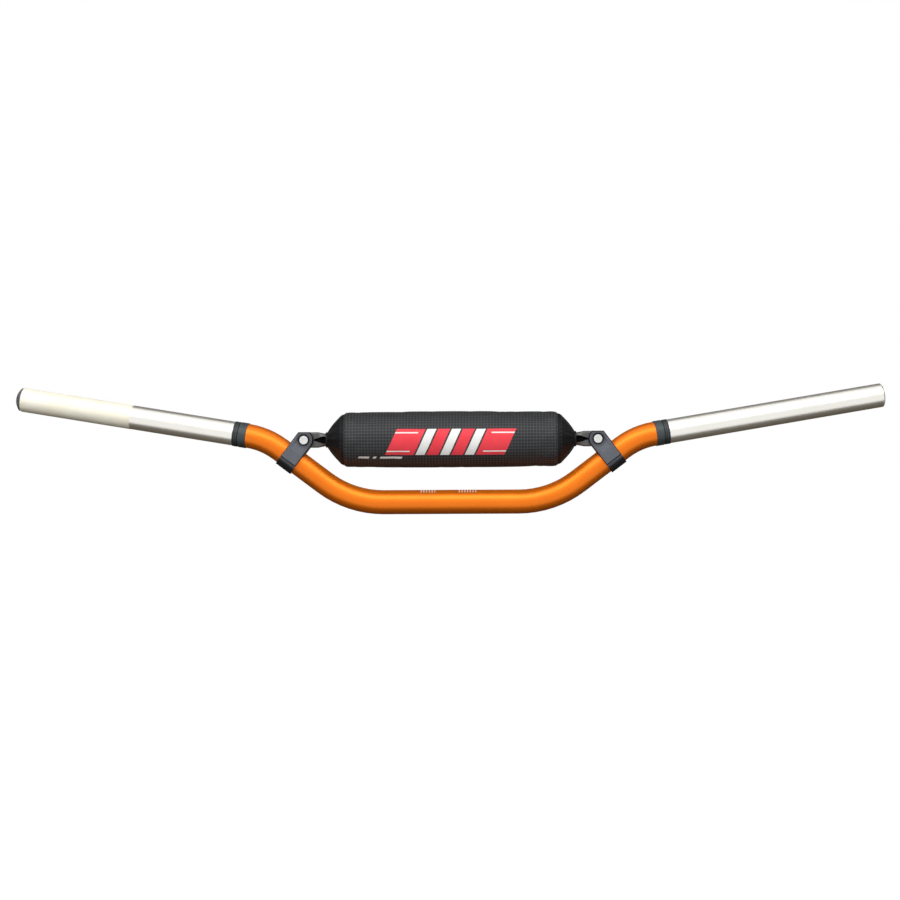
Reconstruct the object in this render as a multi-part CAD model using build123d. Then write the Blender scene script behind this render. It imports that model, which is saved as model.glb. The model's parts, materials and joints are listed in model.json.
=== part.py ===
"""Motocross handlebar: bent tube, crossbar held by two saddle clamps, and a round pad on the crossbar.

Millimetres and degrees. X runs along the clamp section, Z is up, and the arms sweep back towards +Y.
The origin is the middle of the straight clamp section, on the axis of the tube.
"""
import os
from math import atan2, cos, pi, radians, sin, sqrt, tan

from build123d import *

# Tube
tube_od = 22.2
tube_bore = 14.0
centre_straight = 124.0
inner_bend_r = 90.0
rise_angle = 37.0
incline_length = 51.0
outer_bend_r = 65.0
upsweep = 9.2
backsweep = 9.0
arm_length = 218.0
end_chamfer = 1.2
bore_chamfer = 0.5

# Plug in the -X end
plug_flange_d = 21.0
plug_flange_t = 0.8
plug_dome_h = 4.2
plug_stem_d = 12.6
plug_stem_length = 20.0
plug_barb_count = 3
plug_barb_start = 1.0
plug_barb_pitch = 5.0
plug_barb_length = 3.2
plug_barb_clearance = 0.05

# Collars where the paint ends, each in a seat that starts where the bend ends
collar_seat_depth = 0.3
collar_clearance = 0.02
collar_end_clearance = 0.1
collar_wide_proud = 0.5
collar_wide_length = 7.3
collar_groove_proud = 0.0
collar_groove_length = 1.2
collar_rib_proud = 0.4
collar_rib_count = 3
collar_rib_length = 0.9
collar_rib_gap = 0.7

# Crossbar
crossbar_d = 11.5
tongue_width = 14.3
tongue_t = 7.0
tongue_edge_r = 1.6
neck_inset = 20.0
tongue_inset = 12.5
dimple_tip_inset = 9.5
dimple_length = 8.0
dimple_root_r = 3.8
dimple_tip_r = 0.7
dimple_web = 5.0

# Crossbar clamps
clamp_station = 38.4
bolt_offset = 20.3
clamp_width = 18.0
clamp_half_depth = 14.2
clamp_draft = 3.5
clamp_top_rise = 7.5
clamp_ear_foot = 4.6
clamp_corner_r = 1.2
clamp_edge_r = 1.0
strap_t = 1.5
strap_width = 16.4
clamp_bore_clearance = 0.05
ear_clearance = 0.1
pocket_r = 5.2
pocket_drop = 12.9
pocket_depth = 2.2

# M5 fasteners
bolt_d = 5.0
bolt_hole_d = 5.4
bolt_head_d = 8.5
bolt_head_h = 5.0
bolt_head_chamfer = 0.45
bolt_head_recess = 0.2
bolt_length = 25.0
bolt_point = 0.6
hex_key = 4.0
hex_depth = 2.6
nut_across_flats = 8.0
nut_h = 4.7
nut_bevel_angle = 30.0
nut_thread_clearance = 0.04
nut_pocket_clearance = 0.1
nut_recess = 0.1

# Pad
pad_d = 52.0
pad_end_taper = 1.4
pad_bend_r = 12.5
pad_cone_length = 15.3
pad_neck_wall = 1.05
pad_neck_inset = 21.0
pad_lip_length = 1.4
pad_cover_t = 1.0
pad_cap_t = 1.0
pad_layer_gap = 0.3
pad_bore_clearance = 0.3
pad_slit = 2.0
strip_inset = 8.5
loop_strip_arc = 24.0
loop_strip_t = 0.8
hook_flap_arc = 30.0
hook_flap_t = 1.0
hook_flap_hem = 6.0


class Bend:
    """A bend of the tube: it starts at a point, turns from one heading to the next, and ends at a point."""

    def __init__(self, start, heading, next_heading, radius):
        self.start = start
        self.heading = heading
        self.angle = heading.get_angle(next_heading)
        inward = (next_heading - heading * heading.dot(next_heading)).normalized()
        self.axis = Axis(start + inward * radius, heading.cross(inward))
        turned = radians(self.angle)
        self.end = start + heading * (radius * sin(turned)) + inward * (radius * (1 - cos(turned)))


# Route of the +X half of the tube
outward = Vector(1, 0, 0)
incline_heading = Vector(cos(radians(rise_angle)), 0, sin(radians(rise_angle)))
incline_normal = Vector(-sin(radians(rise_angle)), 0, cos(radians(rise_angle)))
arm_heading = Vector(
    cos(radians(upsweep)) * cos(radians(backsweep)),
    cos(radians(upsweep)) * sin(radians(backsweep)),
    sin(radians(upsweep)),
)
inner_bend = Bend(Vector(centre_straight / 2, 0, 0), outward, incline_heading, inner_bend_r)
incline_end = inner_bend.end + incline_heading * incline_length
outer_bend = Bend(incline_end, incline_heading, arm_heading, outer_bend_r)
arm_start = outer_bend.end
arm_end = arm_start + arm_heading * arm_length

# Frames of the pieces on the +X half
clamp_frame = Plane(
    origin=inner_bend.end + incline_heading * clamp_station,
    x_dir=incline_heading,
    z_dir=incline_normal,
)
bolt_centre = clamp_frame.from_local_coords(Vector(0, 0, bolt_offset))
arm_frame = Plane(origin=arm_start, z_dir=arm_heading)
end_frame = Plane(origin=arm_end, z_dir=arm_heading)
crossbar_axis = Axis((0, 0, bolt_centre.Z), (1, 0, 0))

# Length of a collar along the arm, and stations of the pad along X, counted back from the clamp's bolt
collar_ribs = collar_rib_count * collar_rib_length + (collar_rib_count - 1) * collar_rib_gap
collar_length = collar_wide_length + collar_groove_length + collar_ribs
pad_neck = bolt_centre.X - pad_neck_inset
pad_seam = pad_neck - pad_cone_length
pad_end_d = pad_d - pad_end_taper
pad_neck_d = crossbar_d + 2 * (pad_bore_clearance + pad_neck_wall)
strip_length = 2 * (pad_seam - strip_inset)

# Depths of the clamp's seats, counted along Y from the middle plane
head_seat = clamp_half_depth - bolt_head_recess - bolt_head_h
nut_seat = clamp_half_depth - nut_recess - nut_h
ear_gap = tongue_t + 2 * ear_clearance


def other_side(shape):
    """The same piece on the -X half."""
    return mirror(shape, about=Plane.YZ)


def facing_front(x, z, depth):
    """A plane that faces -Y, in front of the middle plane by the depth."""
    return Plane(origin=(x, -depth, z), x_dir=(1, 0, 0), z_dir=(0, -1, 0))


def facing_back(x, z, depth):
    """A plane that faces +Y, behind the middle plane by the depth."""
    return Plane(origin=(x, depth, z), x_dir=(1, 0, 0), z_dir=(0, 1, 0))


def ring_profile(points, frame):
    """A turned piece from the (radius, height) points of its section, on the frame's Z axis."""
    section = Plane.XZ * make_face(Polyline(*points, close=True))
    return frame * revolve(section, axis=Axis.Z)


def tube_straight(start, heading, length):
    section = Plane(origin=start, z_dir=heading) * (Circle(tube_od / 2) - Circle(tube_bore / 2))
    return extrude(section, amount=length)


def tube_bend(bend):
    section = Plane(origin=bend.start, z_dir=bend.heading) * (Circle(tube_od / 2) - Circle(tube_bore / 2))
    return revolve(section, axis=bend.axis, revolution_arc=bend.angle)


def end_ring(tube):
    """The flat ring at the end of the arm."""
    return tube.faces().filter_by(GeomType.PLANE).sort_by_distance(arm_end)[0]


def collar_seat():
    """Shallow turned recess that keeps the collar in its place."""
    foot = tube_od / 2 - collar_seat_depth
    end = collar_length + 2 * collar_end_clearance
    return ring_profile([(foot, 0), (tube_od, 0), (tube_od, end), (foot, end)], arm_frame)


def make_tube():
    half = tube_straight(Vector(0, 0, 0), outward, centre_straight / 2)
    half += tube_bend(inner_bend)
    half += tube_straight(inner_bend.end, incline_heading, incline_length)
    half += tube_bend(outer_bend)
    half += tube_straight(arm_start, arm_heading, arm_length)
    half = chamfer(end_ring(half).outer_wire().edges(), length=end_chamfer)
    half = chamfer(end_ring(half).inner_wires()[0].edges(), length=bore_chamfer)
    half -= collar_seat()
    return half + other_side(half)


def make_plug():
    """Domed head, and a stem with barbs that grip the bore. Height is counted outward from the tube's end."""
    head_r = plug_flange_d / 2
    stem_r = plug_stem_d / 2
    barb_r = tube_bore / 2 - plug_barb_clearance
    top = plug_flange_t + plug_dome_h
    points = [(0, top), (0, -plug_stem_length), (stem_r, -plug_stem_length)]
    for index in range(plug_barb_count):
        foot = -plug_stem_length + plug_barb_start + index * plug_barb_pitch
        crest = foot + plug_barb_length
        points += [(stem_r, foot), (barb_r, crest), (stem_r, crest)]
    points += [(stem_r, 0), (head_r, 0), (head_r, plug_flange_t)]
    dome = TangentArc((0, top), (head_r, plug_flange_t), tangent=(1, 0))
    return end_frame * revolve(Plane.XZ * make_face(Polyline(*points) + dome), axis=Axis.Z)


def make_collar():
    """Stretched ring in its seat: a wide band beside the paint, a groove, then narrow ribs."""
    inner = tube_od / 2 - collar_seat_depth + collar_clearance
    wide = tube_od / 2 + collar_wide_proud
    groove = tube_od / 2 + collar_groove_proud
    rib = tube_od / 2 + collar_rib_proud
    lead = collar_wide_proud / 2
    height = collar_end_clearance
    points = [(inner, height), (wide - lead, height), (wide, height + lead)]
    height += collar_wide_length
    points += [(wide, height - lead), (wide - lead, height), (groove, height)]
    height += collar_groove_length
    for index in range(collar_rib_count):
        points += [(groove, height), (rib, height), (rib, height + collar_rib_length),
                   (groove, height + collar_rib_length)]
        height += collar_rib_length + collar_rib_gap
    points.append((inner, height - collar_rib_gap))
    return ring_profile(points, arm_frame)


def ear_outline():
    """Front view of an ear: square foot, round inner shoulder, top parallel to the crossbar."""
    half = clamp_width / 2
    centre = Vector(0, bolt_offset)
    up = Vector(sin(radians(rise_angle)), cos(radians(rise_angle)))
    along = Vector(cos(radians(rise_angle)), -sin(radians(rise_angle)))
    top_foot = centre + up * clamp_top_rise
    outer_top = top_foot + along * ((half - top_foot.X) / along.X)
    inner_top = top_foot - along * sqrt(half ** 2 - clamp_top_rise ** 2)
    shoulder = centre + Vector(-half, 0)
    middle = ((inner_top - centre) + (shoulder - centre)).normalized() * half + centre
    sides = Polyline(shoulder, (-half, -clamp_ear_foot), (half, -clamp_ear_foot), outer_top, inner_top)
    face = make_face(sides + ThreePointArc(inner_top, middle, shoulder))
    return fillet(face.vertices().sort_by_distance(outer_top)[0], radius=clamp_corner_r)


def clamp_pocket():
    """Shallow recess in the front face: deep round the bolt head, running out to nothing below it."""
    front = -clamp_half_depth
    low = bolt_offset - pocket_drop
    high = bolt_offset + clamp_width
    slope = pocket_depth / pocket_drop
    plan = Pos(0, bolt_offset) * Circle(pocket_r)
    plan += Pos(0, (low + bolt_offset) / 2) * Rectangle(2 * pocket_r, bolt_offset - low)
    column = extrude(Plane.XZ * plan, amount=2 * clamp_half_depth)
    proud = front - pocket_depth
    floor = front + slope * (high - low)
    wedge = Polyline((proud, low), (front, low), (floor, high), (proud, high), close=True)
    return column & extrude(Plane.YZ * make_face(wedge), amount=clamp_width, both=True)


def make_clamp():
    """One-piece saddle: two drafted ears on a thin strap round the tube, drawn together by the bolt."""
    ear = extrude(Plane.XZ * ear_outline(), amount=clamp_half_depth, taper=clamp_draft)
    ear = fillet(ear.faces().sort_by(Axis.Y)[0].edges(), radius=clamp_edge_r)
    body = ear + mirror(ear, about=Plane.XZ)
    body += Cylinder(tube_od / 2 + strap_t, strap_width, rotation=(0, 90, 0))
    body -= Cylinder(tube_od / 2 + clamp_bore_clearance, 2 * clamp_width, rotation=(0, 90, 0))
    slot_height = bolt_offset + clamp_width
    body -= Pos(0, 0, slot_height / 2) * Box(2 * clamp_width, ear_gap, slot_height)
    body -= clamp_pocket()
    hole = Circle(bolt_hole_d / 2)
    body -= extrude(facing_front(0, bolt_offset, 0) * hole, amount=2 * clamp_half_depth, both=True)
    body -= extrude(facing_front(0, bolt_offset, head_seat) * Circle(pocket_r), amount=clamp_half_depth)
    hexagon = RegularPolygon(nut_across_flats / 2 + nut_pocket_clearance, 6, major_radius=False)
    body -= extrude(facing_back(0, bolt_offset, nut_seat) * hexagon, amount=clamp_half_depth)
    return clamp_frame * body


def crossbar_plane(x):
    """Section plane across the crossbar: local X is the thickness along Y, local Y is the height."""
    return Plane(origin=(x, 0, bolt_centre.Z), x_dir=(0, 1, 0), z_dir=(1, 0, 0))


def crossbar_dimple():
    """Teardrop left by the forging die, from the round neck to a point on the flat tongue."""
    tip_x = bolt_centre.X - dimple_tip_inset
    root_x = tip_x - dimple_length
    root = Vector(root_x, -dimple_web / 2 - dimple_root_r, bolt_centre.Z)
    tip = Vector(tip_x, -dimple_web / 2 - dimple_tip_r, bolt_centre.Z)
    run = tip - root
    cone = Solid.make_cone(dimple_root_r, dimple_tip_r, run.length, Plane(origin=root, z_dir=run))
    return Part() + cone + Pos(*root) * Sphere(dimple_root_r) + Pos(*tip) * Sphere(dimple_tip_r)


def make_crossbar():
    """Round bar with both ends forged flat and drilled."""
    neck_x = bolt_centre.X - neck_inset
    tongue_x = bolt_centre.X - tongue_inset
    flat = RectangleRounded(tongue_t, tongue_width, tongue_edge_r)
    half = extrude(crossbar_plane(0) * Circle(crossbar_d / 2), amount=neck_x)
    half += loft([crossbar_plane(neck_x) * Circle(crossbar_d / 2), crossbar_plane(tongue_x) * flat])
    half += extrude(crossbar_plane(tongue_x) * flat, amount=tongue_inset)
    upper = flat & Pos(0, tongue_width / 2) * Rectangle(2 * tongue_t, tongue_width)
    bolt_axis = Axis(bolt_centre, (0, 1, 0))
    half += revolve(crossbar_plane(bolt_centre.X) * upper, axis=bolt_axis, revolution_arc=180)
    dimple = crossbar_dimple()
    half -= dimple
    half -= mirror(dimple, about=Plane.XZ)
    half -= Pos(*bolt_centre) * Cylinder(bolt_hole_d / 2, 2 * tongue_t, rotation=(90, 0, 0))
    return half + other_side(half)


def make_bolt():
    """Socket cap screw, drawn in the clamp's own frame. Its head points to the front, towards -Y."""
    seat = facing_front(0, bolt_offset, head_seat)
    head = extrude(seat * Circle(bolt_head_d / 2), amount=bolt_head_h)
    head = chamfer(head.faces().sort_by(Axis.Y)[0].edges(), length=bolt_head_chamfer)
    shank = extrude(seat * Circle(bolt_d / 2), amount=-bolt_length)
    shank = chamfer(shank.faces().sort_by(Axis.Y)[-1].edges(), length=bolt_point)
    top = facing_front(0, bolt_offset, head_seat + bolt_head_h)
    socket = RegularPolygon(hex_key / 2, 6, major_radius=False)
    return clamp_frame * (head + shank - extrude(top * socket, amount=-hex_depth))


def make_nut():
    """Hexagon nut in the rear ear, with its corners turned off on both faces."""
    seat = facing_back(0, bolt_offset, nut_seat)
    flat_r = nut_across_flats / 2
    corner_r = nut_across_flats / sqrt(3)
    bevel = (corner_r - flat_r) * tan(radians(nut_bevel_angle))
    turned = Polyline((0, 0), (flat_r, 0), (corner_r, bevel), (corner_r, nut_h - bevel), (flat_r, nut_h),
                      (0, nut_h), close=True)
    hexagon = extrude(RegularPolygon(flat_r, 6, major_radius=False), amount=nut_h)
    nut = hexagon & revolve(Plane.XZ * make_face(turned), axis=Axis.Z)
    nut -= extrude(Circle(bolt_d / 2 + nut_thread_clearance), amount=nut_h)
    return clamp_frame * (seat * nut)


def about_crossbar(section):
    """Turn a section, drawn as (X, radius), about the crossbar."""
    return revolve(facing_front(0, bolt_centre.Z, 0) * section, axis=crossbar_axis)


def pad_half(inset, floor_r):
    """Half of the pad down to a radius, set in from its outside: crowned middle, bend, cone and neck."""
    slope = Vector(pad_cone_length, (pad_neck_d - pad_end_d) / 2).normalized()
    normal = Vector(-slope.Y, slope.X)
    half_turn = atan2(-slope.Y, slope.X) / 2
    corner = Vector(pad_seam, pad_end_d / 2) - Vector(tan(half_turn), 1) * inset
    neck = Vector(pad_neck, pad_neck_d / 2) - normal * inset
    middle = Vector(0, pad_d / 2 - inset)
    body = TangentArc(middle, corner, tangent=(1, 0))
    rest = Polyline(corner, neck, (neck.X, floor_r), (0, floor_r), middle)
    section = make_face(body + rest)
    bend = section.vertices().sort_by_distance(corner)[0]
    return about_crossbar(fillet(bend, radius=pad_bend_r - inset))


def slit_cutter():
    """The slit at the back through which the pad goes over the crossbar."""
    reach = pad_d
    return Pos(0, reach / 2, bolt_centre.Z) * Box(4 * pad_neck, reach, pad_slit)


def make_pad_core():
    bore_r = crossbar_d / 2 + pad_bore_clearance
    half = pad_half(pad_cover_t + pad_layer_gap, bore_r) - slit_cutter()
    return half + other_side(half)


def side_of_seam(outboard):
    """A block that covers one side of the seam between cover and cap, less half of the sewing gap."""
    reach = 2 * pad_neck
    offset = (reach + pad_layer_gap) / 2
    centre = pad_seam + offset if outboard else pad_seam - offset
    return Pos(centre, 0, bolt_centre.Z) * Box(reach, reach, reach)


def make_pad_cover():
    shell = (pad_half(0, 0) - pad_half(pad_cover_t, 0)) & side_of_seam(False)
    half = shell - slit_cutter()
    return half + other_side(half)


def make_pad_cap():
    """Sewn cone on the end of the pad, with a short lip round the crossbar."""
    outer_r = pad_neck_d / 2
    shell = (pad_half(0, 0) - pad_half(pad_cap_t, 0)) & side_of_seam(True)
    lip_section = Pos(pad_neck + pad_lip_length / 2, 0) * Rectangle(pad_lip_length, 2 * outer_r)
    lip = about_crossbar(lip_section & Pos(0, outer_r) * Rectangle(4 * pad_neck, 2 * outer_r))
    bore_r = crossbar_d / 2 + pad_bore_clearance
    bore = about_crossbar(Pos(0, bore_r / 2) * Rectangle(4 * pad_neck, bore_r))
    return shell + lip - bore - slit_cutter()


def closure_strip(inner_r, thickness, start_arc, end_arc):
    """A curved strip along the back of the pad, between two distances round the cover from the slit."""
    ring = Circle(inner_r + thickness) - Circle(inner_r)
    reach = 2 * pad_d
    start = start_arc / inner_r * 180 / pi
    end = end_arc / inner_r * 180 / pi
    wedge = make_face(Polyline((0, 0), (reach * cos(radians(start)), reach * sin(radians(start))),
                               (reach * cos(radians(end)), reach * sin(radians(end))), close=True))
    return extrude(crossbar_plane(-strip_length / 2) * (ring & wedge), amount=strip_length)


def make_loop_strip():
    """Soft strip sewn to the cover just above the slit."""
    inner_r = pad_d / 2 + pad_layer_gap
    return closure_strip(inner_r, loop_strip_t, pad_slit, pad_slit + loop_strip_arc)


def make_hook_flap():
    """Hooked flap: it is sewn below the slit and laps over the soft strip."""
    inner_r = pad_d / 2 + loop_strip_t + 2 * pad_layer_gap
    return closure_strip(inner_r, hook_flap_t, -hook_flap_hem, hook_flap_arc - hook_flap_hem)


clamp = make_clamp()
collar = make_collar()
bolt = make_bolt()
nut = make_nut()
pad_cap = make_pad_cap()
parts = {
    "handlebar_tube": make_tube(),
    "left_end_plug": other_side(make_plug()),
    "left_collar": other_side(collar),
    "right_collar": collar,
    "left_crossbar_clamp": other_side(clamp),
    "right_crossbar_clamp": clamp,
    "crossbar": make_crossbar(),
    "left_clamp_bolt": other_side(bolt),
    "right_clamp_bolt": bolt,
    "left_clamp_nut": other_side(nut),
    "right_clamp_nut": nut,
    "pad_core": make_pad_core(),
    "pad_cover": make_pad_cover(),
    "pad_left_cap": other_side(pad_cap),
    "pad_right_cap": pad_cap,
    "pad_loop_strip": make_loop_strip(),
    "pad_hook_flap": make_hook_flap(),
}

os.makedirs("parts", exist_ok=True)
for name, shape in parts.items():
    export_step(shape, f"parts/{name}.step")
print("arm end", arm_end, "bolt", bolt_centre, "width over the ends", 2 * arm_end.X)
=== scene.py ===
"""A motocross handlebar: the finish of every piece, the sewn pad on its crossbar, and the studio."""
import json
import math

import bpy
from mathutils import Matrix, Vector


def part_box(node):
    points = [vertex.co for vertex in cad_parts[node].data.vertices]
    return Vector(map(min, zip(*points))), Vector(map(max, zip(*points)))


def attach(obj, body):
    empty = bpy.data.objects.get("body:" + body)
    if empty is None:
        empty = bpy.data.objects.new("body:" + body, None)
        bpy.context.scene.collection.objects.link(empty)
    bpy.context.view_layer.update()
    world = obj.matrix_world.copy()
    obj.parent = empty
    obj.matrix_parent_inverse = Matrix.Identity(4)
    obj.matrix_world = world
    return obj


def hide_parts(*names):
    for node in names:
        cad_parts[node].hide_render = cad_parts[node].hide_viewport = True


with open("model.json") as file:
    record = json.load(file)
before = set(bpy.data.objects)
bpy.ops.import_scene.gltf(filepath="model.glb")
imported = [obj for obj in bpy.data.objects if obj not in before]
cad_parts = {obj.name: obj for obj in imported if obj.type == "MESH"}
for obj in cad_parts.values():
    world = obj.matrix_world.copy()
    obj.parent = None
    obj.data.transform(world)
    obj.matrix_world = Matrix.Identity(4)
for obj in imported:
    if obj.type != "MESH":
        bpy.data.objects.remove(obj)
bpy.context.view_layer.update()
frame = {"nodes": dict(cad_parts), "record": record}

# The tube is one bent length of aluminium. Its middle is anodised orange up to the collars, and both arms
# are left bare and polished. White marks are printed on top of the clamp section, for centring the bar.
# Lengths along an arm are counted outward from the inner end of its grip section, beside the collar.
mounts = {mount["name"]: mount for mount in frame["record"]["mounts"]}
grip_section = mounts["right_grip_section"]
grip_length = grip_section["dims"]["length_mm"] / 1000
tube_r = mounts["clamp_section"]["dims"]["r_mm"] / 1000
arm_heading = Vector(grip_section["axis"])
grip_start = Vector(grip_section["pos_m"]) - arm_heading * (grip_length / 2)
dye_end = -0.006
dye_fade = 0.0002
polish_along = 900
polish_across = 40
mark_pitch = 0.0025
mark_width = 0.0005
mark_spans = ((-0.0287, -0.0137), (0.0063, 0.0238))
marks_above = tube_r * 0.8


def seen(red, green, blue):
    """A colour as the eye reads it, from 0 to 255, in the linear values that a shader takes."""
    return tuple(((level / 255 + 0.055) / 1.055) ** 2.4 for level in (red, green, blue)) + (1.0,)


orange_dye = (seen(236, 116, 8), seen(246, 126, 14))
polished_metal = (seen(240, 238, 230), seen(250, 248, 242))
mark_white = seen(245, 245, 242)


class Shade:
    """A value or colour inside a material. Arithmetic on it adds Math nodes to that material."""

    def __init__(self, tree, socket=None):
        self.tree = tree
        self.socket = socket

    def node(self, kind, settings=None, inputs=None, output=0):
        """Add one node: its settings first, then the values or links of its sockets. Gives one output."""
        made = self.tree.nodes.new("ShaderNode" + kind)
        for name, value in (settings or {}).items():
            setattr(made, name, value)
        for name, value in (inputs or {}).items():
            if isinstance(value, Shade):
                self.tree.links.new(value.socket, made.inputs[name])
            else:
                made.inputs[name].default_value = value
        return Shade(self.tree, made.outputs[output]) if made.outputs else None

    def maths(self, operation, *others):
        return self.node("Math", {"operation": operation}, dict(enumerate((self,) + others)))

    def __add__(self, other):
        return self.maths("ADD", other)

    def __sub__(self, other):
        return self.maths("SUBTRACT", other)

    def __mul__(self, other):
        return self.maths("MULTIPLY", other)

    def __radd__(self, other):
        return self + other

    def __rsub__(self, other):
        return self * -1 + other

    def __rmul__(self, other):
        return self * other

    def __lt__(self, other):
        return self.maths("LESS_THAN", other)

    def __gt__(self, other):
        return self.maths("GREATER_THAN", other)

    def __abs__(self):
        return self.maths("ABSOLUTE")

    def rise(self, start, end):
        """0 up to start and 1 from end on, smooth between them. It falls where end is the lower one."""
        ends = {"Value": self, "From Min": start, "From Max": end}
        return self.node("MapRange", {"interpolation_type": "SMOOTHSTEP"}, ends)

    def between(self, low, high, edge):
        """1 between low and high, with edges of the given softness."""
        return self.rise(low - edge, low + edge) * self.rise(high + edge, high - edge)

    def blend(self, low, high):
        """A colour: low where this is 0 and high where it is 1."""
        return self.node("Mix", {"data_type": "RGBA"}, {0: self, 6: low, 7: high}, output=2)

    def here(self):
        """The point's place on the object, in metres."""
        return self.node("TexCoord", output="Object")

    def split(self):
        """The three values of a vector."""
        values = self.node("SeparateXYZ", inputs={0: self}).socket.node.outputs
        return [Shade(self.tree, value) for value in values]

    def join(self, x, y, z):
        """A vector from its three values."""
        return self.node("CombineXYZ", inputs={0: x, 1: y, 2: z})

    def grain(self, point, cells, detail=2.0, roughness=0.5):
        """Noise from 0 to 1 at a point, with the given number of cells a metre."""
        values = {"Vector": point, "Scale": cells, "Detail": detail, "Roughness": roughness}
        return self.node("TexNoise", inputs=values)

    def relief(self, height, depth=1.0):
        """A normal from a height, where 1 stands for depth in metres."""
        return self.node("Bump", inputs={"Height": height, "Distance": depth})


def finish(name, surface):
    """A material. surface gets the start of its shader maths and gives the sockets of its shader."""
    made = bpy.data.materials.new(name)
    made.use_nodes = True
    made.node_tree.nodes.clear()
    start = Shade(made.node_tree)
    shader = start.node("BsdfPrincipled", inputs=surface(start))
    start.node("OutputMaterial", inputs={"Surface": shader})
    return made


def dress(node, material):
    """Give a CAD node its finish."""
    materials = frame["nodes"][node].data.materials
    materials.clear()
    materials.append(material)


def along_arm(x, y, z):
    """Length along either arm, from the inner end of its grip section."""
    run = abs(x) * arm_heading.x + y * arm_heading.y + z * arm_heading.z
    return run - grip_start.dot(arm_heading)


def tube_surface(shade):
    here = shade.here()
    x, y, z = here.split()
    run = along_arm(x, y, z)
    bare = run.rise(dye_end - dye_fade, dye_end + dye_fade)
    on_top = (z > marks_above) * (y < 0)
    in_spans = sum(x.between(low, high, mark_width) for low, high in mark_spans)
    marks = (x.maths("PINGPONG", mark_pitch / 2) < mark_width / 2) * on_top * in_spans
    polish_point = shade.join(run * polish_along, y * polish_across, z * polish_across)
    polish = shade.grain(polish_point, cells=1, detail=3)
    cloud = shade.grain(here, cells=28)
    metal = bare.blend(cloud.blend(*orange_dye), cloud.blend(*polished_metal))
    return {
        "Base Color": marks.blend(metal, mark_white),
        "Metallic": (0.58 + bare * 0.27) * (1 - marks),
        "Roughness": 0.38 - bare * 0.08 + (polish - 0.5) * 0.06 + marks * 0.2,
        "Normal": shade.relief(polish * bare, depth=0.0000016),
    }


dress("handlebar_tube", finish("anodised_and_bare_tube", tube_surface))

# The grip zone at the end of the left arm is rolled with a diamond knurl, so that a glued grip can't turn.
# The rolled diamonds are blasted to a pale matt finish. They are raised from the same metal as the tube.
knurl_start = 0.098
knurl_around = 44
knurl_pitch = 0.0016
knurl_height = 0.00012
knurl_foot = 0.00001
knurl_sunk = 0.0003
blasted_metal = (seen(243, 235, 208), seen(253, 251, 242))


def mesh_piece(name, points, faces, material, smooth=True):
    """A new object from its points and faces."""
    mesh = bpy.data.meshes.new(name)
    mesh.from_pydata([tuple(point) for point in points], [], faces)
    mesh.materials.append(material)
    for face in mesh.polygons:
        face.use_smooth = smooth
    piece = bpy.data.objects.new(name, mesh)
    bpy.context.scene.collection.objects.link(piece)
    return piece


def build_knurl():
    """Pyramids between two families of crossing grooves, closed by a wall sunk in the tube."""
    heading = Vector((-arm_heading.x, arm_heading.y, arm_heading.z))
    across = heading.cross(Vector((0, 0, 1))).normalized()
    up = heading.cross(across)
    start = Vector((-grip_start.x, grip_start.y, grip_start.z)) + heading * knurl_start
    length = grip_length - knurl_start
    rows = 2 * round(length / knurl_pitch)
    columns = 2 * knurl_around

    def ring(row, radii):
        middle = start + heading * (length * row / rows)
        turns = [math.tau * column / columns for column in range(columns)]
        return [middle + (across * math.cos(turn) + up * math.sin(turn)) * radius
                for turn, radius in zip(turns, radii)]

    points = []
    for row in range(rows + 1):
        height = knurl_height if 0 < row < rows else 0
        radii = [tube_r + knurl_foot + height * ((row + column) % 2) for column in range(columns)]
        points += ring(row, radii)
    inner = len(points)
    for row in (0, rows):
        points += ring(row, [tube_r - knurl_sunk] * columns)

    def corner(row, column):
        return row * columns + column % columns

    faces = []
    for row in range(rows):
        for column in range(columns):
            low, right = corner(row, column), corner(row, column + 1)
            top, far = corner(row + 1, column), corner(row + 1, column + 1)
            if (row + column) % 2:
                faces += [(low, right, top), (right, far, top)]
            else:
                faces += [(low, right, far), (low, far, top)]
    for column in range(columns):
        near, after = inner + column, inner + (column + 1) % columns
        faces.append((corner(0, column), near, after, corner(0, column + 1)))
        faces.append((corner(rows, column), corner(rows, column + 1), after + columns, near + columns))
        faces.append((near, near + columns, after + columns, after))
    return points, faces


def knurl_surface(shade):
    here = shade.here()
    cloud = shade.grain(here, cells=45)
    blast = shade.grain(here, cells=5200, detail=1)
    return {
        "Base Color": cloud.blend(*blasted_metal),
        "Metallic": 0.15,
        "Roughness": 0.6 + (cloud - 0.5) * 0.1,
        "Normal": shade.relief(blast, depth=0.000012),
    }


knurl = mesh_piece("left_grip_knurl", *build_knurl(), finish("blasted_knurl", knurl_surface), smooth=False)
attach(knurl, "root")

# The plug is a moulded cap of grey plastic. Its domed head closes the left end of the tube, and barbs on its
# stem hold it in the bore.
plug_plastic = (seen(84, 82, 88), seen(98, 96, 102))


def plug_surface(shade):
    here = shade.here()
    mould = shade.grain(here, cells=1500, detail=3)
    return {
        "Base Color": shade.grain(here, cells=160).blend(*plug_plastic),
        "Roughness": 0.46 + (mould - 0.5) * 0.15,
        "Normal": shade.relief(mould, depth=0.000015),
    }


dress("left_end_plug", finish("moulded_plug", plug_surface))

# The collars are rings of black rubber, stretched on where the orange ends. Each has a wide band and three
# narrow ribs. The raised rubber has a faint grey bloom of moulding; its grooves are painted black as shade.
groove_r = tube_r + 0.00008
rib_r = tube_r + 0.00032
painted_groove_shade = seen(8, 9, 10)
bloomed_rubber = (seen(38, 45, 47), seen(60, 69, 72))


def distance(*sides):
    """Distance between two points, from how far apart they are in each direction."""
    return sum(side * side for side in sides).maths("SQRT")


def from_arm_axis(x, y, z):
    """Distance from the axis of either arm."""
    run = along_arm(x, y, z)
    place = (abs(x), y, z)
    across = [value - run * along - start for value, along, start in zip(place, arm_heading, grip_start)]
    return distance(*across)


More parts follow.
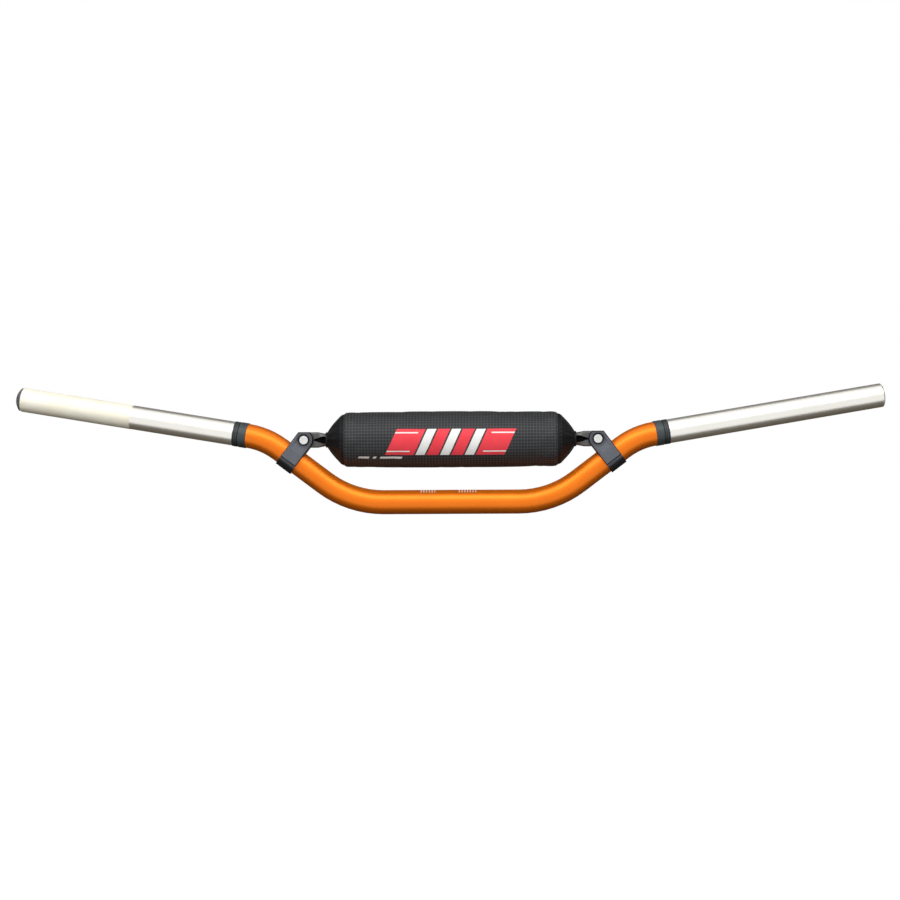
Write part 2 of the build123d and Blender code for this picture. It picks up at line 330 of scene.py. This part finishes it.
def collar_surface(shade):
    here = shade.here()
    bloom = shade.grain(here, cells=240, detail=3)
    # Darker where the rubber lies low, in the grooves: painted shade.
    raised = from_arm_axis(*here.split()).rise(groove_r, rib_r)
    return {
        "Base Color": raised.blend(painted_groove_shade, bloom.blend(*bloomed_rubber)),
        "Roughness": 0.5 + (bloom - 0.5) * 0.2,
        "Normal": shade.relief(shade.grain(here, cells=2600), depth=0.00001),
    }


collar_finish = finish("moulded_collar", collar_surface)
for node in ("left_collar", "right_collar"):
    dress(node, collar_finish)

# Each clamp is a one-piece saddle moulded in near-black, glass-filled nylon: a thin strap round the tube and
# two drafted ears, which the bolt draws together on the crossbar's flat end. Short fibres show as pale
# flecks. Faces looking forward or back are painted slate-grey as light, and darker round the bolt as shade.
bolt_low, bolt_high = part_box("right_clamp_bolt")
bolt_x = (bolt_low.x + bolt_high.x) / 2
bolt_z = (bolt_low.z + bolt_high.z) / 2
bolt_shade_full_r = 0.0052
bolt_shade_end_r = 0.009
fibre_stretch = 3
fleck_share = 0.3
moulded_nylon = (seen(18, 18, 20), seen(30, 30, 33))
front_lit_nylon = (seen(84, 87, 94), seen(99, 102, 110))
bolt_shade_nylon = (seen(56, 58, 63), seen(68, 70, 75))
fibre_grey = seen(134, 138, 146)


def clamp_surface(shade):
    here = shade.here()
    x, y, z = here.split()
    fibre = shade.grain(shade.join(x, y, z * fibre_stretch), cells=1900, detail=4)
    cloud = shade.grain(here, cells=90)
    flecks = fibre.rise(0.58, 0.75) * fleck_share
    forward = shade.node("NewGeometry", output="Normal").split()[1]
    # Faces that look forward or back are painted lighter than the rest: painted light.
    facing_forward = abs(forward).rise(0.8, 0.95)
    # Darker within a ring round the bolt head: painted shade.
    bolt_shade = distance(abs(x) - bolt_x, z - bolt_z).rise(bolt_shade_end_r, bolt_shade_full_r)
    front_lit_colour = bolt_shade.blend(cloud.blend(*front_lit_nylon), cloud.blend(*bolt_shade_nylon))
    return {
        "Base Color": facing_forward.blend(cloud.blend(*moulded_nylon), flecks.blend(front_lit_colour, fibre_grey)),
        "Roughness": 0.62 - facing_forward * 0.2 + (fibre - 0.5) * 0.2,
        "Specular IOR Level": 0.3,
        "Normal": shade.relief(fibre, depth=0.00002),
    }


clamp_finish = finish("glass_filled_nylon", clamp_surface)
for node in ("left_crossbar_clamp", "right_crossbar_clamp"):
    dress(node, clamp_finish)

# The crossbar is round aluminium bar. Both ends are forged flat between dies, drilled, and tumbled to an
# even grey, and the dies leave a teardrop dimple on each face, painted black as shade in the hollow.
dimple_x = bolt_x - 0.0175
dimple_y = 0.0063
dimple_length = 0.008
dimple_r = 0.0038
dimple_taper = 0.0031
dimple_lip = 0.0001
dimple_fade = 0.00008
tumbled_metal = (seen(84, 84, 84), seen(102, 102, 101))
dimple_shade_black = seen(1, 1, 1)


def crossbar_surface(shade):
    here = shade.here()
    x, y, z = here.split()
    tumbled = shade.grain(here, cells=900, detail=4)
    cloud = shade.grain(here, cells=120)
    along = abs(x) - dimple_x
    share = (along * (1 / dimple_length)).maths("MAXIMUM", 0.0).maths("MINIMUM", 1.0)
    narrower = share * dimple_taper
    reach = distance(along - share * dimple_length, abs(y) - dimple_y + narrower, z - bolt_z) + narrower
    # The dimple is painted black, as shade in the hollow.
    dimple = reach.rise(dimple_r + dimple_lip + dimple_fade, dimple_r + dimple_lip)
    return {
        "Base Color": dimple.blend(cloud.blend(*tumbled_metal), dimple_shade_black),
        "Metallic": 0.7,
        "Roughness": 0.45 + (tumbled - 0.5) * 0.2 + dimple * 0.2,
        "Specular IOR Level": 0.15,
        "Normal": shade.relief(tumbled, depth=0.00002),
    }


dress("crossbar", finish("tumbled_crossbar", crossbar_surface))

# An M5 socket cap screw and a nut draw the ears of each clamp together. Both are steel with a bright zinc
# plate, a little cloudy, as plated parts are.
zinc_plate = (seen(222, 222, 220), seen(246, 246, 244))


def zinc_surface(shade):
    cloud = shade.grain(shade.here(), cells=420, detail=3)
    return {
        "Base Color": cloud.blend(*zinc_plate),
        "Metallic": 1.0,
        "Roughness": 0.24 + (cloud - 0.5) * 0.2,
        "Normal": shade.relief(cloud, depth=0.00001),
    }


zinc_finish = finish("bright_zinc", zinc_surface)
for node in ("left_clamp_bolt", "right_clamp_bolt", "left_clamp_nut", "right_clamp_nut"):
    dress(node, zinc_finish)

# The cover is one panel of black coated cloth with a fine embossed grid, wrapped round the foam and sewn to
# the end caps, with its two edges at the slit behind. Red and white stripes are screen-printed on its front.
# The foam presses it out a little, and the seams draw it in.
pad_low, pad_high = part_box("pad_cover")
pad_z = (pad_low.z + pad_high.z) / 2
pad_r = (pad_high.z - pad_low.z) / 2
pad_end_r = 0.0253
pad_bend_r = 0.0125
seam_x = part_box("pad_right_cap")[0].x
neck_x = 0.1136
neck_r = 0.0068
cone_angle = math.atan2(pad_end_r - neck_r, neck_x - seam_x)
bend_start = seam_x - pad_bend_r * math.tan(cone_angle / 2)
bend_end = bend_start + pad_bend_r * math.sin(cone_angle)
slit_half = 0.001
cloth_t = 0.0009
cover_columns = 74
cover_rows = 56
cover_swell = 0.0004
swell_run = 0.012
foam_pressure = 4
settle_steps = 20
sew_depth = 0.0003
sew_reach = 0.0012
pucker_count = 34
pucker_depth = 0.00014
pucker_reach = 0.009
pucker_drift = 1.7
pucker_skew = 9
grid_pitch = (0.0028, 0.003)
grid_pit_edge = (0.42, 0.66)
grid_height = 0.00018
thread_height = 0.00002
ink_fill = 0.55
cloth_with_pit_shade = (seen(2, 2, 2), seen(55, 56, 58))
print_red = (seen(226, 48, 62), seen(240, 64, 76))
print_white = seen(236, 236, 234)
print_middle = -0.0025
print_half_length = 0.0545
print_half_height = 0.0125
print_lean = 0.45
print_edge = 0.00012
slash_places = (-0.0225, 0.0, 0.0225)
slash_half = 0.0042
gap_half = 0.0058
line_places = (-0.0088, 0.0088)
line_half = 0.0006
line_start = 0.0335
dash_place = -0.0158
dash_half = 0.0012
dash_spans = ((-0.0845, -0.0745), (-0.071, -0.068), (-0.0645, -0.0445))


def pad_radius(x):
    """Outside of the pad at a distance from its middle: crowned body, rounded bend and cone."""
    x = abs(x)
    if x < bend_start:
        return pad_r - (pad_r - pad_end_r) * (x / bend_start) ** 2
    if x < bend_end:
        return pad_end_r - pad_bend_r + math.sqrt(pad_bend_r ** 2 - (x - bend_start) ** 2)
    return pad_end_r - (x - seam_x) * math.tan(cone_angle)


def round_pad(x, turn, radius):
    """A point round the crossbar. The turn starts at the slit at the back and goes over the top."""
    return Vector((x, radius * math.cos(turn), pad_z + radius * math.sin(turn)))


def turn_from_slit(share, radius):
    """The turn at a share of the way round the pad, from one edge of the slit to the other."""
    slit_turn = slit_half / radius
    return slit_turn + (math.tau - 2 * slit_turn) * share


def pull_in(x, turn):
    """How far the seam draws the cloth in: a sewn groove, with soft puckers that die out beside it."""
    gap = abs(abs(x) - seam_x)
    groove = sew_depth * math.exp(-(gap / sew_reach) ** 2)
    wave = math.sin(pucker_count * turn + pucker_drift * math.sin(3 * turn) + x * pucker_skew)
    return groove + pucker_depth * (1 + wave) * math.exp(-gap / pucker_reach) * min(1, gap / sew_reach)


def sheet_faces(rows, columns):
    """Quads of a sheet that was laid out row by row."""
    return [(row * columns + column, row * columns + column + 1,
             (row + 1) * columns + column + 1, (row + 1) * columns + column)
            for row in range(rows - 1) for column in range(columns - 1)]


def build_cover():
    """The cover as one sheet, from one edge of the slit over the top to the other."""
    points = []
    for row in range(cover_rows):
        turn = turn_from_slit(row / (cover_rows - 1), pad_r)
        for column in range(cover_columns):
            x = -seam_x + 2 * seam_x * column / (cover_columns - 1)
            slack = cover_swell * min(1, (seam_x - abs(x)) / swell_run)
            points.append(round_pad(x, turn, pad_radius(x) - slack))
    return points, [face[::-1] for face in sheet_faces(cover_rows, cover_columns)]


def settle(piece, sewn, limit):
    """Let the foam press on a sheet of cloth that is held where it is sewn, and keep the shape it takes."""
    group = piece.vertex_groups.new(name="sewn")
    group.add(sewn, 1.0, "REPLACE")
    cloth = piece.modifiers.new("settle", "CLOTH")
    cloth.settings.vertex_group_mass = group.name
    cloth.settings.quality = 6
    cloth.settings.mass = 0.25
    cloth.settings.tension_stiffness = 20
    cloth.settings.compression_stiffness = 20
    cloth.settings.bending_stiffness = 2
    cloth.settings.shrink_min = -0.006
    cloth.settings.use_pressure = True
    cloth.settings.uniform_pressure_force = foam_pressure
    cloth.settings.effector_weights.gravity = 0
    for step in range(1, settle_steps + 1):
        bpy.context.scene.frame_set(step)
    shaped = piece.evaluated_get(bpy.context.evaluated_depsgraph_get())
    moves = [after.co - before.co for before, after in zip(piece.data.vertices, shaped.data.vertices)]
    piece.modifiers.remove(cloth)
    bpy.context.scene.frame_set(1)
    for vertex, move in zip(piece.data.vertices, moves):
        vertex.co += move * min(1, limit / max(move.length, limit))


def sew_in(piece):
    """Draw the cloth in along both seams."""
    for vertex in piece.data.vertices:
        middle = Vector((vertex.co.x, 0, pad_z))
        spoke = vertex.co - middle
        turn = math.atan2(spoke.z, spoke.y)
        vertex.co = middle + spoke * (1 - pull_in(vertex.co.x, turn) / spoke.length)


def thicken(piece, thickness):
    """Give a sheet its thickness, inward, and round its corners."""
    shell = piece.modifiers.new("thickness", "SOLIDIFY")
    shell.thickness = thickness
    shell.offset = -1
    rounding = piece.modifiers.new("rounding", "SUBSURF")
    rounding.render_levels = 1
    rounding.levels = 1


def cloth_grid(x, round_front):
    """Height of the embossed grid, from 0 in its square pits to 1 on the bars between them."""
    across, around = [abs((place * (math.pi / pitch)).maths("SINE"))
                      for place, pitch in zip((x, round_front), grid_pitch)]
    return 1 - across.maths("MINIMUM", around).rise(*grid_pit_edge)


def bands(value, places, half):
    """1 within half of any of the places."""
    return sum(value.between(place - half, place + half, print_edge) for place in places)


def small_dashes(x, up):
    """A short broken line, below the left end of the stripes."""
    lean = x - (up - dash_place) * print_lean
    dashes = sum(lean.between(low, high, print_edge) for low, high in dash_spans)
    return bands(up, [dash_place], dash_half) * dashes


def stripe_print(x, up):
    """Masks of the red and the white print: a leaning bar with cut ends, split by slashes."""
    lean = x - up * print_lean
    body = bands(up, [0], print_half_height) * bands(lean, [0], print_half_length)
    lines = bands(up, line_places, line_half) * abs(lean).between(line_start, print_half_length, print_edge)
    white = body * (bands(lean, slash_places, slash_half) + lines) + small_dashes(x, up)
    red = body * (1 - bands(lean, slash_places, gap_half)) * (1 - lines)
    return red, white


def cover_surface(shade):
    here = shade.here()
    x, y, z = here.split()
    round_front = (z - pad_z).maths("ARCTAN2", y * -1) * pad_r
    grid = cloth_grid(x, round_front)
    red, white = stripe_print(x, round_front - print_middle)
    thread = shade.grain(here, cells=1400, detail=3)
    cloud = shade.grain(here, cells=60)
    # The grid's pits are painted near-black as shade, against its lighter bars.
    cloth = (grid * 0.85 + cloud * 0.15).blend(*cloth_with_pit_shade)
    inked = (red + white).maths("MINIMUM", 1.0)
    return {
        "Base Color": white.blend(red.blend(cloth, cloud.blend(*print_red)), print_white),
        "Roughness": 0.55 + (thread - 0.5) * 0.2,
        "Specular IOR Level": 0.36,
        "Normal": shade.relief(grid * grid_height * (1 - inked * ink_fill) + thread * thread_height),
    }


cover = mesh_piece("pad_cover_cloth", *build_cover(), finish("embossed_cloth", cover_surface))
sewn_edges = [row * cover_columns + column
              for row in range(cover_rows) for column in range(cover_columns)
              if row in (0, cover_rows - 1) or column in (0, cover_columns - 1)]
settle(cover, sewn_edges, cover_swell)
sew_in(cover)
thicken(cover, cloth_t)
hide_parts("pad_cover")
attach(cover, "root")

# The core is a turned block of black closed-cell foam, bored for the crossbar and slit at the back, so that
# it can be pushed on. The cover and caps hold it tight, and it shows only in the slit.
foam_bore_r = 0.00605
foam_gap = 0.0001
foam_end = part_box("pad_core")[1].x
foam_sections = 96
foam_columns = 48
foam_black = (seen(14, 14, 14), seen(38, 38, 38))


def build_foam():
    """Sections round the crossbar from one face of the slit to the other, closed by those two faces."""
    spread = [-foam_end + 2 * foam_end * column / (foam_columns - 1) for column in range(foam_columns)]
    points = []
    for section in range(foam_sections):
        share = section / (foam_sections - 1)
        for x in spread:
            radius = pad_radius(x) - cloth_t - foam_gap
            turn = turn_from_slit(share, radius)
            points.append(round_pad(x, turn, radius - pull_in(x, turn)))
        for x in reversed(spread):
            points.append(round_pad(x, turn_from_slit(share, foam_bore_r), foam_bore_r))
    count = 2 * foam_columns
    faces = []
    for section in range(foam_sections - 1):
        for place in range(count):
            here, beside = section * count + place, section * count + (place + 1) % count
            faces.append((here, here + count, beside + count, beside))
    last = (foam_sections - 1) * count
    for near in range(foam_columns - 1):
        far = near + 1
        near_bore, far_bore = count - 1 - near, count - 1 - far
        faces.append((near, far, far_bore, near_bore))
        faces.append((last + near, last + near_bore, last + far_bore, last + far))
    return points, faces


def foam_surface(shade):
    cells = {"Vector": shade.here(), "Scale": 1100.0}
    cell = shade.node("TexVoronoi", {"feature": "DISTANCE_TO_EDGE"}, cells)
    return {
        "Base Color": cell.rise(0.0, 0.3).blend(*foam_black),
        "Roughness": 0.9,
        "Normal": shade.relief(cell, depth=0.0003),
    }


foam = mesh_piece("pad_foam", *build_foam(), finish("closed_cell_foam", foam_surface), smooth=False)
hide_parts("pad_core")
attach(foam, "root")

# Each end of the pad is a cone of smooth coated cloth, sewn to the cover and drawn in round the crossbar.
# Its hem is a rolled welt, and the cloth takes shallow folds where it is gathered towards the neck.
lip_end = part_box("pad_right_cap")[1].x
cap_rows = 26
cap_columns = 120
cap_bulge = 0.0011
fold_count = 13
fold_depth = 0.0004
fold_level = 0.6
fold_crowding = 1.6
fold_drift = 1.3
welt_r = 0.0006
welt_sunk = welt_r * 0.4
welt_steps = 7
welt_start = math.radians(135)
welt_sweep = math.radians(225)
smooth_black = (seen(12, 12, 13), seen(22, 23, 24))


def cap_outline():
    """The cap's section from the seam to its hem, as (x, radius), with the rolled welt at its end."""
    outline = []
    for step in range(cap_rows):
        x = seam_x + (neck_x - seam_x) * step / (cap_rows - 1)
        outline.append((x, pad_radius(x)))
    for step in range(welt_steps):
        turn = welt_start - welt_sweep * step / (welt_steps - 1)
        x = lip_end - welt_r + welt_r * math.cos(turn)
        outline.append((x, neck_r - welt_sunk + welt_r * math.sin(turn)))
    return outline


def build_cap(side):
    """The cap of one end as one sheet, from the seam to its hem."""
    outline = cap_outline()
    points = []
    for x, radius in outline:
        share = min(1, max(0, (x - seam_x) / (neck_x - seam_x)))
        drawn = math.sin(math.pi * share ** fold_crowding)
        for column in range(cap_columns):
            turn = turn_from_slit(column / (cap_columns - 1), max(radius, neck_r))
            wave = math.sin(fold_count * turn + fold_drift * math.sin(2 * turn + side))
            swell = drawn * (fold_depth * (wave - fold_level) + cap_bulge)
            points.append(round_pad(side * x, turn, radius + swell - pull_in(side * x, turn)))
    return points, [face[::side] for face in sheet_faces(len(outline), cap_columns)]


def cap_surface(shade):
    here = shade.here()
    skin = shade.grain(here, cells=1700, detail=3)
    return {
        "Base Color": shade.grain(here, cells=75).blend(*smooth_black),
        "Roughness": 0.5 + (skin - 0.5) * 0.2,
        "Specular IOR Level": 0.2,
        "Normal": shade.relief(skin, depth=0.00003),
    }


cap_finish = finish("smooth_coated_cloth", cap_surface)
for name, side in (("left", -1), ("right", 1)):
    cap = mesh_piece(f"pad_{name}_cap_cloth", *build_cap(side), cap_finish)
    thicken(cap, cloth_t)
    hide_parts(f"pad_{name}_cap")
    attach(cap, "root")

# Two rows of black bonded thread hold each cap to the cover, one on each side of the seam. Every stitch is
# drawn tight, so that its middle lies proud and its ends dip into the cloth.
stitch_length = 0.0026
stitch_pitch = 0.0036
stitch_r = 0.00026
stitch_offset = 0.0026
stitch_proud = 0.4
stitch_dip = 1.3
stitch_fullness = 1.05
stitch_sides = 6
stitch_rings = 5
thread_black = (seen(26, 26, 27), seen(62, 62, 64))


def build_stitches(side):
    """Every stitch of both rows at one end, each a small lens of thread."""
    points, faces = [], []
    for x in (seam_x - stitch_offset, seam_x + stitch_offset):
        radius = pad_radius(x)
        count = round(math.tau * radius / stitch_pitch)
        for index in range(1, count):
            base = len(points)
            for ring in range(stitch_rings):
                share = 2 * ring / (stitch_rings - 1) - 1
                turn = math.tau * index / count + share * stitch_length / 2 / radius
                thickness = stitch_r * math.sqrt(stitch_fullness - share ** 2)
                height = radius - pull_in(x, turn) + stitch_r * (stitch_proud - stitch_dip * share ** 2)
                for corner in range(stitch_sides):
                    angle = math.tau * corner / stitch_sides
                    points.append(round_pad(side * (x + thickness * math.cos(angle)), turn,
                                            height + thickness * math.sin(angle)))
            for ring in range(stitch_rings - 1):
                start = base + ring * stitch_sides
                for corner in range(stitch_sides):
                    here, beside = start + corner, start + (corner + 1) % stitch_sides
                    faces.append((here, beside, beside + stitch_sides, here + stitch_sides)[::side])
            last = base + (stitch_rings - 1) * stitch_sides
            faces.append(tuple(range(base, base + stitch_sides))[::-side])
            faces.append(tuple(range(last, last + stitch_sides))[::side])
    return points, faces


def thread_surface(shade):
    twist = shade.grain(shade.here(), cells=3800)
    return {
        "Base Color": twist.blend(*thread_black),
        "Roughness": 0.55,
        "Normal": shade.relief(twist, depth=0.00004),
    }


thread_finish = finish("bonded_thread", thread_surface)
for name, side in (("left", -1), ("right", 1)):
    stitches = mesh_piece(f"pad_{name}_stitches", *build_stitches(side), thread_finish)
    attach(stitches, "root")

# The slit at the back closes with hook and loop tape. The soft strip is sewn to the cover above the slit,
# and the hooked flap is hemmed below it and laps over the strip, so a few millimetres of the strip show.
# Arcs are measured on the inner face of each tape, upward from the slit.
strip_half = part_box("pad_hook_flap")[1].x
loop_sizes = {"inner": 0.0263, "thickness": 0.0008, "arcs": (0.002, 0.026), "corner": 0.002, "lift": 0.0}
hook_sizes = {"inner": 0.0274, "thickness": 0.001, "arcs": (-0.006, 0.024), "corner": 0.007, "lift": 0.0004}
tape_columns = 120
tape_rows = 16
edge_softness = 0.35
lift_power = 6
ripples = 70
rib_pitch = 0.0011
rib_height = 0.00008
skin_height = 0.00003
loop_black = (seen(10, 10, 11), seen(40, 40, 42))
webbing_black = (seen(16, 16, 17), seen(34, 34, 36))


def build_tape(inner, thickness, arcs, corner, lift):
    """A closed tape round the back of the pad. Its free edge has round corners and stands off a little."""
    low, high = arcs
    span = high - low
    points = []
    for layer in (0, 1):
        for row in range(tape_rows):
            for column in range(tape_columns):
                x = strip_half * (2 * column / (tape_columns - 1) - 1)
                rounding = max(0, abs(x) - strip_half + corner)
                trimmed = corner - math.sqrt(max(0, corner ** 2 - rounding ** 2))
                run = (span - trimmed) * row / (tape_rows - 1)
                to_edge = min(run, span - trimmed - run, strip_half - abs(x)) / thickness
                rounded = thickness * edge_softness * max(0, 1 - to_edge) * layer
                stand_off = lift * (run / span) ** lift_power * (1 + math.sin(x * ripples))
                radius = inner + thickness * layer - rounded + stand_off
                points.append(round_pad(x, (low + run) / inner, radius))
    count = tape_rows * tape_columns
    under = sheet_faces(tape_rows, tape_columns)
    over = [tuple(point + count for point in face[::-1]) for face in under]
    rim = list(range(tape_columns))
    rim += [row * tape_columns + tape_columns - 1 for row in range(1, tape_rows)]
    rim += [(tape_rows - 1) * tape_columns + column for column in range(tape_columns - 2, -1, -1)]
    rim += [row * tape_columns for row in range(tape_rows - 2, 0, -1)]
    walls = [(here, here + count, after + count, after) for here, after in zip(rim, rim[1:] + rim[:1])]
    return points, under + over + walls


def loop_surface(shade):
    fuzz = shade.grain(shade.here(), cells=2400, detail=4, roughness=0.7)
    return {
        "Base Color": fuzz.blend(*loop_black),
        "Roughness": 0.85,
        "Normal": shade.relief(fuzz, depth=0.00025),
    }


def webbing_surface(shade):
    here = shade.here()
    wave = (here.split()[0] * (math.pi / rib_pitch)).maths("SINE")
    rib = wave * wave
    skin = shade.grain(here, cells=1800)
    return {
        "Base Color": rib.blend(*webbing_black),
        "Roughness": 0.6 + (skin - 0.5) * 0.2,
        "Normal": shade.relief(rib * rib_height + skin * skin_height),
    }


loop_strip = mesh_piece("pad_loop_tape", *build_tape(**loop_sizes), finish("loop_tape", loop_surface))
hook_flap = mesh_piece("pad_hook_tape", *build_tape(**hook_sizes), finish("webbing_flap", webbing_surface))
for piece, node in ((loop_strip, "pad_loop_strip"), (hook_flap, "pad_hook_flap")):
    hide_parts(node)
    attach(piece, "root")

# The studio has a pale floor well below the bar, and white surroundings. Soft lamps stand above and in
# front, over the camera, and behind, all kept out of the reflections. Cards are there for those: bright ones
# in front and behind, and dark ones below, above and at the sides, which draw the edges of the metal.
floor_z = -0.45
floor_r = 9.0
floor_sides = 64
floor_grey = seen(60, 60, 60)
black = (0, 0, 0, 1)
white = (1, 1, 1, 1)
room_light = (0.12, 0.12, 0.12, 1)
card_half = 1.6
side_card_x = card_half + 0.1
side_card_reach = 1.3
side_card_z = (-0.34, 0.7)
side_card_grey = (0.15, 0.145, 0.14, 1)
lamp_target = Vector((0, 0, 0.05))
camera_place = (0.0477, -3.2, 0.0588)
camera_turn = [math.radians(angle) for angle in (89.8, 0.3, 0.87)]
frame_width = 0.826
sensor_width = 0.036


def white_to_the_eye(shade):
    """1 for the rays of the camera, of reflections and of glass, which see the surroundings as white."""
    path = shade.node("LightPath").socket.node.outputs
    camera_ray, glossy_ray, clear_ray = [Shade(shade.tree, path[kind]) for kind in
                                         ("Is Camera Ray", "Is Glossy Ray", "Is Transmission Ray")]
    return camera_ray.maths("MAXIMUM", glossy_ray).maths("MAXIMUM", clear_ray)


def floor_surface(shade):
    return {
        "Base Color": floor_grey,
        "Roughness": 0.9,
        "Emission Color": white_to_the_eye(shade).blend(black, white),
        "Emission Strength": 1.0,
    }


turns = [math.tau * step / floor_sides for step in range(floor_sides)]
floor_ring = [(floor_r * math.cos(turn), floor_r * math.sin(turn), floor_z) for turn in turns]
floor = mesh_piece("studio_floor", floor_ring, [tuple(range(floor_sides))],
                   finish("studio_floor", floor_surface), smooth=False)


def across_bar(near, far):
    """Corners of a card across the bar, between two edges given as (y, z)."""
    return [(-card_half, *near), (card_half, *near), (card_half, *far), (-card_half, *far)]


def beside_bar(x):
    """Corners of a card beyond an end of the bar."""
    low, high = side_card_z
    near, far = -side_card_reach, side_card_reach
    return [(x, near, low), (x, far, low), (x, far, high), (x, near, high)]


def card(name, corners, colour, strength=1.0, shades=False):
    """Only reflections see a card, unless it shades the bar too."""
    def surface(shade):
        return {
            "Base Color": black,
            "Specular IOR Level": 0.0,
            "Emission Color": colour,
            "Emission Strength": strength,
        }

    made = mesh_piece(name, corners, [(0, 1, 2, 3)], finish(name, surface), smooth=False)
    made.visible_camera = False
    made.visible_diffuse = shades
    made.visible_shadow = False
    made.visible_transmission = False


card("card_over_camera", across_bar((-1.35, 0.85), (-0.75, 1.5)), white, strength=3.2)
card("card_at_camera", across_bar((-1.5, -0.5), (-1.5, 0.75)), (0.9, 0.9, 0.9, 1))
card("card_below", across_bar((-0.27, -0.35), (1.4, -0.35)), (0.085, 0.07, 0.05, 1), shades=True)
card("card_below_front", across_bar((-1.4, -0.36), (-0.28, -0.36)), white)
card("card_behind", across_bar((1.4, -0.34), (1.25, 0.36)), (0.8, 0.79, 0.77, 1))
card("card_above_behind", across_bar((1.24, 0.37), (0.32, 1.1)), (0.1, 0.09, 0.08, 1))
card("card_left", beside_bar(-side_card_x), side_card_grey)
card("card_right", beside_bar(side_card_x), side_card_grey)


def soft_lamp(name, place, size, energy):
    """A soft lamp that faces the bar and isn't seen in reflections."""
    data = bpy.data.lights.new(name, "AREA")
    data.shape = "RECTANGLE"
    data.size, data.size_y = size
    data.energy = energy
    lamp = bpy.data.objects.new(name, data)
    lamp.location = place
    lamp.rotation_euler = (lamp_target - Vector(place)).to_track_quat("-Z", "Y").to_euler()
    lamp.visible_camera = False
    lamp.visible_glossy = False
    bpy.context.scene.collection.objects.link(lamp)


soft_lamp("key", (0.0, -1.45, 1.6), (2.6, 1.1), 36)
soft_lamp("fill", (0.0, -2.9, 0.75), (1.6, 0.4), 46)
soft_lamp("back", (0.0, 2.4, 1.3), (2.4, 1.0), 40)

world = bpy.data.worlds.new("studio")
bpy.context.scene.world = world
world.use_nodes = True
world.node_tree.nodes.clear()
sky = Shade(world.node_tree)
background = sky.node("Background", inputs={"Color": white_to_the_eye(sky).blend(room_light, white)})
sky.node("OutputWorld", inputs={"Surface": background})

camera_data = bpy.data.cameras.new("camera")
camera_data.sensor_width = sensor_width * 1000
camera_data.lens = sensor_width * 1000 * -camera_place[1] / frame_width
camera = bpy.data.objects.new("camera", camera_data)
camera.location = camera_place
camera.rotation_euler = camera_turn
bpy.context.scene.collection.objects.link(camera)
bpy.context.scene.camera = camera
bpy.context.scene.view_settings.view_transform = "Standard"
